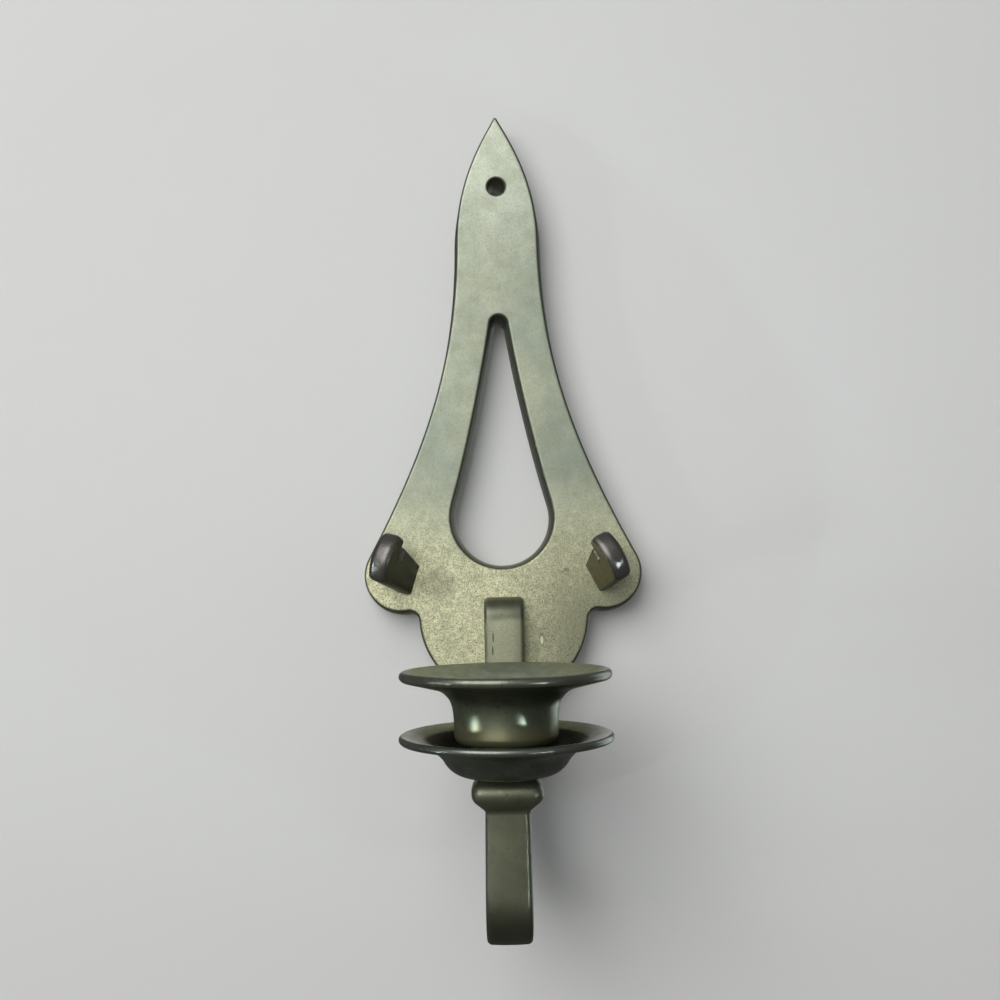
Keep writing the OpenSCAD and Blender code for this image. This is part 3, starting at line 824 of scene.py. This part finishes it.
def make_cup():
    radius, height = (cup_high.x - cup_low.x) / 2, cup_high.z - cup_low.z
    neck_r, corner_r, flare_r = SOCKET_R + CUP_T, CUP_CORNER_R, CUP_FLARE_R
    rim = (radius - CUP_RIM_R, height - CUP_RIM_R)
    slope = radians(CUP_FLANGE_A)
    flare = (neck_r + flare_r,
             rim[1] - (rim[0] - neck_r - flare_r) * tan(slope) - (flare_r + CUP_RIM_R) / cos(slope))
    # the neck's curve, from the body's rounded corner to the flare
    corner = (neck_r - corner_r, CUP_FOOT_H + corner_r)
    leave = arc(corner, corner_r, -12, -12, 1)[0]
    c, s = cos(CUP_BLEND_A), sin(CUP_BLEND_A)
    meet = (flare[0] - flare_r * c, flare[1] + flare_r * s)
    neck = bezier([leave, (neck_r + 0.05, corner[1] + 0.6),
                   (meet[0] - CUP_BLEND_PULL * s, meet[1] - CUP_BLEND_PULL * c), meet], 22)
    run = joined(
        [(SCREW_HOLE_R, 0.0), (CUP_FOOT_R - 0.4, 0.0), (CUP_FOOT_R, 0.4)],
        arc((CUP_FOOT_R + CUP_COVE_R, CUP_FOOT_H - CUP_COVE_R), CUP_COVE_R, 180, 90, 6),
        arc(corner, corner_r, -90, -12, 12), neck,
        arc(flare, flare_r, 180 - degrees(CUP_BLEND_A), 90 + CUP_FLANGE_A, 18),
        arc(rim, CUP_RIM_R, CUP_FLANGE_A - 90, CUP_FLANGE_A + 90, 14),
        arc(flare, flare_r + CUP_T, 90 + CUP_FLANGE_A, 172, 26),
        [(SOCKET_R, flare[1] - 1.2), (SOCKET_R, flare[1] - 3)],
        arc((SOCKET_R - 0.6, CUP_FLOOR + 0.6), 0.6, 0, -90, 5),
        [(CUP_SCREW_HEAD_R + 0.1, CUP_FLOOR), (CUP_SCREW_HEAD_R, CUP_FLOOR - 0.1),
         (SCREW_HOLE_R, CUP_FLOOR - CUP_SCREW_HEAD_R + SCREW_HOLE_R)])
    shell = Shell()
    profile = []
    for r, h in run:
        # painted shade down inside the socket
        deep = 0.75 if r <= SOCKET_R + 0.01 and 1 < h < flare[1] - 1 else 0.0
        profile.append((r, CUP_Z + h, clamp((r - radius + 2.6) / 2.0), deep))
    lathe(shell, profile, (0, AXIS_Y))
    return shell.build("cup_turning", CUP)


# Hooks --------------------

HOOK_L, HOOK_H, HOOK_RISE, HOOK_T = 19.2, 10.2, 2.0, 5.6
LIP_T, LIP_H, LIP_FULL = 6.4, 14.2, 2.8
NOTCH_W, NOTCH_DEPTH = 1.2, 4.1
LIP_CORNER_R, BAR_CORNER_R = 1.5, 1.4
HOOK_CROWN, HOOK_CROWN_W = 0.8, 1.9
HOOKS = (("left", -1, 19, 12, 16), ("right", 1, 10, 10, 27))    # side, lean out, lean up, turn
HOOK_X, HOOK_Z = 29.1, -120.4
STUD_R, STUD_PAST_NUT, THREAD_PITCH = 1.9, 0.8, 0.6
NUT_T, NUT_FLAT_R, NUT_HOLE_R = 2.8, 3.5, 1.95
NUT_CORNER_R = NUT_FLAT_R / cos(radians(30))


def hook_outline():
    """The hook seen from its side: a bar, a round-bottomed notch, and a lip with a full front."""
    low = -HOOK_H / 2
    middle = low + LIP_H / 2
    front_r = ((LIP_H / 2) ** 2 + LIP_FULL ** 2) / (2 * LIP_FULL)
    front_x = HOOK_L - front_r
    corner_r = LIP_CORNER_R
    up = LIP_H / 2 - corner_r
    meet = asin(up / (front_r - corner_r))        # where the front's curve meets its corners
    corner_x, corner_a = front_x + (front_r - corner_r) * cos(meet), degrees(meet)
    lip_in = HOOK_L - LIP_T
    notch_r, notch_x = NOTCH_W / 2, lip_in - NOTCH_W / 2
    bar_top, bar_end = HOOK_H / 2 + HOOK_RISE, lip_in - NOTCH_W
    notch_z = bar_top - NOTCH_DEPTH + notch_r
    slope = 2 * HOOK_RISE / (bar_end + HOOK_H)
    edge = BAR_CORNER_R
    return joined(
        [(-2.2, low), (3.0, low), (8.0, low)],
        arc((corner_x, middle - up), corner_r, -90, -corner_a, 6),
        arc((front_x, middle), front_r, -0.9 * corner_a, 0.9 * corner_a, 22),
        arc((corner_x, middle + up), corner_r, corner_a, 90, 6),
        arc((lip_in + corner_r, middle + up), corner_r, 90, 180, 8),
        [(lip_in, notch_z + 3.5), (lip_in, notch_z + 1.2)],
        arc((notch_x, notch_z), notch_r, 0, -180, 10),
        [(bar_end, notch_z + 1.2)],
        arc((bar_end - edge, bar_top - slope * edge - edge), edge, 0, 90, 6),
        [(5.0, bar_top - slope * (bar_end - 5.0)), (-2.2, bar_top - slope * (bar_end + 2.2))])


def make_hook(label, side, lean_out, lean_up, turn):
    """A leaning hook, cut off in the plate's face, and the threaded stud behind it."""
    shell = Shell()
    lean = (Matrix.Translation((side * HOOK_X, FACE_Y, HOOK_Z))
            @ Matrix.Rotation(radians(side * lean_out), 4, "Z")
            @ Matrix.Rotation(radians(-lean_up), 4, "X")
            @ Matrix.Rotation(radians(-side * turn), 4, "Y"))

    def place(a, b, w):
        p = lean @ Vector((w, -a, b))
        return (p.x, min(p.y, FACE_Y + 2.0), p.z)

    slab(shell, hook_outline(), HOOK_T / 2, HOOK_CROWN, HOOK_CROWN_W, place, 0.8)
    end = FACE_Y + SKIN_T + NUT_T + STUD_PAST_NUT
    turned = Matrix.Translation((side * HOOK_X, 0, HOOK_Z)) @ Matrix.Rotation(radians(-90), 4, "X")
    profile = [(0.001, FACE_Y + 1.0), (STUD_R, FACE_Y + 1.0)]
    y = FACE_Y + SKIN_T
    while y < end - 0.5:
        profile += [(STUD_R + 0.08, y, 0.6), (STUD_R - 0.18, y + THREAD_PITCH / 2)]
        y += THREAD_PITCH
    profile += [(STUD_R, end - 0.35, 0.6), (STUD_R - 0.3, end, 0.5), (0.001, end, 0.2)]
    lathe(shell, profile, segments=40, closed=False, place=turned)
    return shell.build(label + "_hook_bar", HOOK, 28)


def nut_ring(side, limit, height, bevel):
    """Points round a nut's hexagon, no further out than limit, with its corners bevelled."""
    points = []
    for i in range(72):
        a = radians(5 * i)
        r = min(limit, NUT_FLAT_R / cos(a % (pi / 3) - pi / 6))
        fall = 0.6 * max(0.0, r - 0.97 * NUT_FLAT_R)
        points.append((side * HOOK_X + r * cos(a), FACE_Y + SKIN_T + height + bevel * fall,
                       HOOK_Z + r * sin(a)))
    return points


def make_nuts():
    shell = Shell()
    for side in (-1, 1):
        # limit, height above the seat, bevel, wear
        levels = ((NUT_HOLE_R, 0.0, 0, 0.0), (0.95 * NUT_FLAT_R, 0.0, 0, 0.3),
                  (NUT_CORNER_R, 0.0, 1, 0.8), (NUT_CORNER_R, NUT_T, -1, 0.9),
                  (0.95 * NUT_FLAT_R, NUT_T, 0, 0.4),
                  (NUT_HOLE_R + 0.35, NUT_T, 0, 0.5), (NUT_HOLE_R, NUT_T - 0.35, 0, 0.2))
        rings = [shell.ring(nut_ring(side, limit, height, bevel), wear)
                 for limit, height, bevel, wear in levels]
        shell.skin(rings + rings[:1])
    return shell.build("hook_nut_pair", BRASS, 28)


# Fasteners --------------------

SCREW_DROPS, SLOT_TURNS = (134.5, 147.5), (24, -52)
THREAD_R, HEAD_R, HEAD_H, HEAD_EDGE_R = 2.0, 3.7, 2.6, 0.45
SLOT_W, SLOT_DEPTH, SLOT_L = 1.2, 1.1, 12      # the slot's cutter runs past the head
WASHER_T, WASHER_GAP, WASHER_RISE = 1.0, 0.06, 0.06
WASHER_STARTS, WASHER_TURN = (40, 200), 352
# a washer's section: radius and height
WASHER_SECTION = ((2.2, 0.1), (2.3, 0.0), (3.6, 0.0), (3.7, 0.1), (3.7, 0.9), (3.6, 1.0), (2.3, 1.0),
                  (2.2, 0.9))
CUP_HEAD_R, CUP_SCREW_L = 3.95, 20


def cut_slot(piece, centre, size, turn=0.0):
    """Cuts a screwdriver slot: a box turned by some degrees about Y."""
    bm = bmesh.new()
    bmesh.ops.create_cube(bm, size=1.0)
    mesh = bpy.data.meshes.new("slot_cutter")
    bmesh.ops.transform(bm, verts=bm.verts, matrix=Matrix.Translation(Vector(centre) * MM)
                        @ Matrix.Rotation(radians(turn), 4, "Y")
                        @ Matrix.Diagonal((*[s * MM for s in size], 1)))
    bm.to_mesh(mesh)
    bm.free()
    cutter = bpy.data.objects.new("slot_cutter", mesh)
    bpy.context.scene.collection.objects.link(cutter)
    change = piece.modifiers.new("slot", "BOOLEAN")
    change.operation, change.solver, change.object = "DIFFERENCE", "EXACT", cutter
    bpy.context.view_layer.update()
    made = bpy.data.meshes.new_from_object(piece.evaluated_get(bpy.context.evaluated_depsgraph_get()))
    piece.modifiers.clear()
    piece.data = made
    bpy.data.objects.remove(cutter)
    made.set_sharp_from_angle(angle=radians(35))


def make_arm_screws():
    shell = Shell()
    seat = FACE_Y + SKIN_T + WASHER_T
    for drop in SCREW_DROPS:
        turned = Matrix.Translation((0, seat, -drop)) @ Matrix.Rotation(radians(-90), 4, "X")
        profile = [(0.001, -8.0), (THREAD_R - 0.3, -8.0), (THREAD_R, -7.6), (THREAD_R, 0.0),
                   (HEAD_R - 0.15, 0.0, 0.3), (HEAD_R, 0.15, 0.5), (HEAD_R, HEAD_H - 0.5, 0.6)]
        profile += [(HEAD_R - HEAD_EDGE_R * (1 - cos(a)), HEAD_H - 0.5 + HEAD_EDGE_R * sin(a), 0.9)
                    for a in (pi / 2 * i / 4 for i in range(1, 5))]
        profile += [(2.4, HEAD_H, 0.3), (0.001, HEAD_H + 0.05, 0.1)]
        lathe(shell, profile, segments=64, closed=False, place=turned)
    piece = shell.build("arm_screw_pair", BRASS, 30)
    for drop, turn in zip(SCREW_DROPS, SLOT_TURNS):
        cut_slot(piece, (0, seat + HEAD_H, -drop), (SLOT_L, 2 * SLOT_DEPTH, SLOT_W), turn)
    return piece


def make_washers():
    """Two split spring washers, each with one cut and a slight rise at its ends."""
    shell = Shell()
    seat, height = FACE_Y + SKIN_T + WASHER_GAP, WASHER_T - 2 * WASHER_GAP
    for drop, start in zip(SCREW_DROPS, WASHER_STARTS):
        rings = []
        for i in range(61):
            t = i / 60
            a = radians(start + WASHER_TURN * t)
            lift = WASHER_RISE * (2 * t - 1)
            rings.append(shell.ring([(r * cos(a), seat + h * height + lift, r * sin(a) - drop)
                                     for r, h in WASHER_SECTION], 0.5))
        shell.skin(rings)
        shell.cap(rings[0])
        shell.cap(rings[-1])
    return shell.build("split_washer_pair", BRASS, 30)


def make_cup_screw():
    shell = Shell()
    top = CUP_Z + CUP_FLOOR - 0.2
    end = top - CUP_SCREW_L
    profile = [(0.001, end), (THREAD_R - 0.4, end), (THREAD_R, end + 0.4), (THREAD_R, top - 2.0),
               (CUP_HEAD_R, top - 0.12, 0.6), (CUP_HEAD_R, top, 0.9),
               (CUP_HEAD_R - 0.35, top + 0.05, 0.5), (2.0, top + 0.12, 0.2), (0.001, top + 0.15, 0.1)]
    lathe(shell, profile, (0, AXIS_Y), 72, False)
    piece = shell.build("cup_screw_body", BRASS, 30)
    cut_slot(piece, (0, AXIS_Y, top + 0.1), (SLOT_L, SLOT_W, 2 * SLOT_DEPTH))
    return piece


# Pieces and the nodes that they stand for --------------------

PIECES = [
    (make_backplate(), "backplate", "plate_patina"),
    (make_arm(), "arm", "arm_patina"),
    (make_pan(), "drip_pan", "pan_patina"),
    (make_cup(), "candle_cup", "cup_patina"),
    (make_hook(*HOOKS[0]), "left_hook", "hook_patina"),
    (make_hook(*HOOKS[1]), "right_hook", "hook_patina"),
    (make_nuts(), "hook_nuts", "hardware_brass"),
    (make_arm_screws(), "arm_screws", "hardware_brass"),
    (make_washers(), "arm_lock_washers", "hardware_brass"),
    (make_cup_screw(), "cup_screw", "hardware_brass"),
]
for piece, node, slot in PIECES:
    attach(piece, "root")
    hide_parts(node)


# Stage --------------------

def stage_material():
    """Plain and pale in front, and clear from behind."""
    g = Graph("pale_stage")
    g.shader.inputs["Base Color"].default_value = (0.70, 0.685, 0.66, 1.0)
    g.shader.inputs["Roughness"].default_value = 0.9
    g.shader.inputs["Specular IOR Level"].default_value = 0.1
    clear = g.node("ShaderNodeBsdfTransparent")
    choose = g.node("ShaderNodeMixShader")
    g.put(choose.inputs[0], g.node("ShaderNodeNewGeometry").outputs["Backfacing"])
    g.put(choose.inputs[1], g.shader.outputs[0])
    g.put(choose.inputs[2], clear.outputs[0])
    output = next(n for n in g.tree.nodes if n.type == "OUTPUT_MATERIAL")
    g.put(output.inputs["Surface"], choose.outputs[0])
    return g.material


def stage_plane(name, corners, material):
    mesh = bpy.data.meshes.new(name)
    mesh.from_pydata(corners, [], [(0, 1, 2, 3)])
    mesh.materials.append(material)
    plane = bpy.data.objects.new(name, mesh)
    bpy.context.scene.collection.objects.link(plane)
    return plane


STAGE = stage_material()
FLOOR_Z = cad_box[0].z - 0.075
SPAN = 3.0          # how far the stage reaches each way, in metres
WALL_Y = 0.0004     # just behind the plate's back
wall = stage_plane("wall", [(-SPAN, WALL_Y, FLOOR_Z), (SPAN, WALL_Y, FLOOR_Z), (SPAN, WALL_Y, SPAN),
                            (-SPAN, WALL_Y, SPAN)], STAGE)
wall.visible_shadow = False          # lamps behind it reach the object's back
floor = stage_plane("floor", [(-SPAN, -SPAN, FLOOR_Z), (SPAN, -SPAN, FLOOR_Z), (SPAN, SPAN, FLOOR_Z),
                              (-SPAN, SPAN, FLOOR_Z)], STAGE)
for plane in (wall, floor):          # the stage doesn't colour or light the metal
    plane.visible_glossy = plane.visible_diffuse = False


# Light --------------------

AIM = Vector((0.0, -0.03, -0.09))      # every lamp points at the middle of the object


def softbox(name, place, size, power, colour, spread=180):
    data = bpy.data.lights.new(name, "AREA")
    data.shape, data.size, data.size_y = "RECTANGLE", size[0], size[1]
    data.energy, data.color = power, colour
    data.spread = radians(spread)
    lamp = bpy.data.objects.new(name, data)
    bpy.context.scene.collection.objects.link(lamp)
    lamp.location = place
    lamp.rotation_mode = "QUATERNION"
    lamp.rotation_quaternion = (AIM - Vector(place)).to_track_quat("-Z", "Y")


softbox("key", (-0.58, -1.15, 0.50), (1.15, 1.30), 17.5, (0.96, 0.985, 1.0))
# two small lamps, narrow enough to miss the floor, make the highlights on the cup's neck
softbox("left_window", (-1.0, -0.40, -0.30), (0.07, 0.07), 0.050, (0.80, 0.93, 1.0), spread=20)
softbox("right_window", (0.72, -0.90, -0.44), (0.20, 0.05), 0.105, (0.74, 0.91, 1.0), spread=20)
softbox("back", (0.0, 1.7, -0.05), (0.9, 0.9), 2.0, (1.0, 0.98, 0.95))
softbox("back_top", (0.0, 1.2, 1.3), (1.2, 1.2), 4.5, (0.86, 0.95, 1.0))
softbox("back_right", (1.0, 0.85, -0.10), (0.8, 1.2), 4.5, (0.86, 0.95, 1.0))


TOWARDS_LIGHT = (-0.12, -0.93, 0.35)


def make_world():
    """Soft light that is strongest in front of the object and weak round its sides."""
    world = bpy.data.worlds.new("room")
    bpy.context.scene.world = world
    world.use_nodes = True
    tree = world.node_tree
    background = next(n for n in tree.nodes if n.type == "BACKGROUND")
    place = tree.nodes.new("ShaderNodeTexCoord").outputs["Generated"]
    dot = tree.nodes.new("ShaderNodeVectorMath")
    dot.operation = "DOT_PRODUCT"
    dot.inputs[1].default_value = TOWARDS_LIGHT
    tree.links.new(place, dot.inputs[0])
    ramp = tree.nodes.new("ShaderNodeValToRGB")
    tree.links.new(dot.outputs["Value"], ramp.inputs[0])
    dim, bright = ramp.color_ramp.elements
    dim.position, dim.color = 0.25, (0.10, 0.10, 0.095, 1)
    bright.position, bright.color = 0.98, (0.80, 0.84, 0.86, 1)
    ramp.color_ramp.elements.new(0.84).color = (0.24, 0.25, 0.25, 1)
    tree.links.new(ramp.outputs[0], background.inputs["Color"])
    seen = tree.nodes.new("ShaderNodeBackground")
    seen.inputs["Color"].default_value = (0.62, 0.62, 0.61, 1)
    choose = tree.nodes.new("ShaderNodeMixShader")
    tree.links.new(tree.nodes.new("ShaderNodeLightPath").outputs["Is Camera Ray"], choose.inputs[0])
    tree.links.new(background.outputs[0], choose.inputs[1])
    tree.links.new(seen.outputs[0], choose.inputs[2])
    output = next(n for n in tree.nodes if n.type == "OUTPUT_WORLD")
    tree.links.new(choose.outputs[0], output.inputs["Surface"])


make_world()
bpy.context.scene.view_settings.view_transform = "Standard"


# Camera --------------------

LENS_MM, SENSOR_MM = 34.63, 36.0
TILT_UP, ROLL = 5.64, -1.05      # degrees
# in metres: left of the wall screw, in front of the plate's face, and below the wall screw
ASIDE, DISTANCE, DROP = 0.00054, 0.288, 0.1264

camera_data = bpy.data.cameras.new("camera")
camera_data.lens, camera_data.sensor_width = LENS_MM, SENSOR_MM
camera_data.clip_start, camera_data.clip_end = 0.01, 20.0
camera = bpy.data.objects.new("camera", camera_data)
bpy.context.scene.collection.objects.link(camera)
camera.matrix_world = (Matrix.Translation((-ASIDE, FACE_Y * MM - DISTANCE, -DROP))
                       @ Matrix.Rotation(radians(90 + TILT_UP), 4, "X")
                       @ Matrix.Rotation(radians(ROLL), 4, "Z"))
bpy.context.scene.camera = camera

bpy.context.view_layer.update()
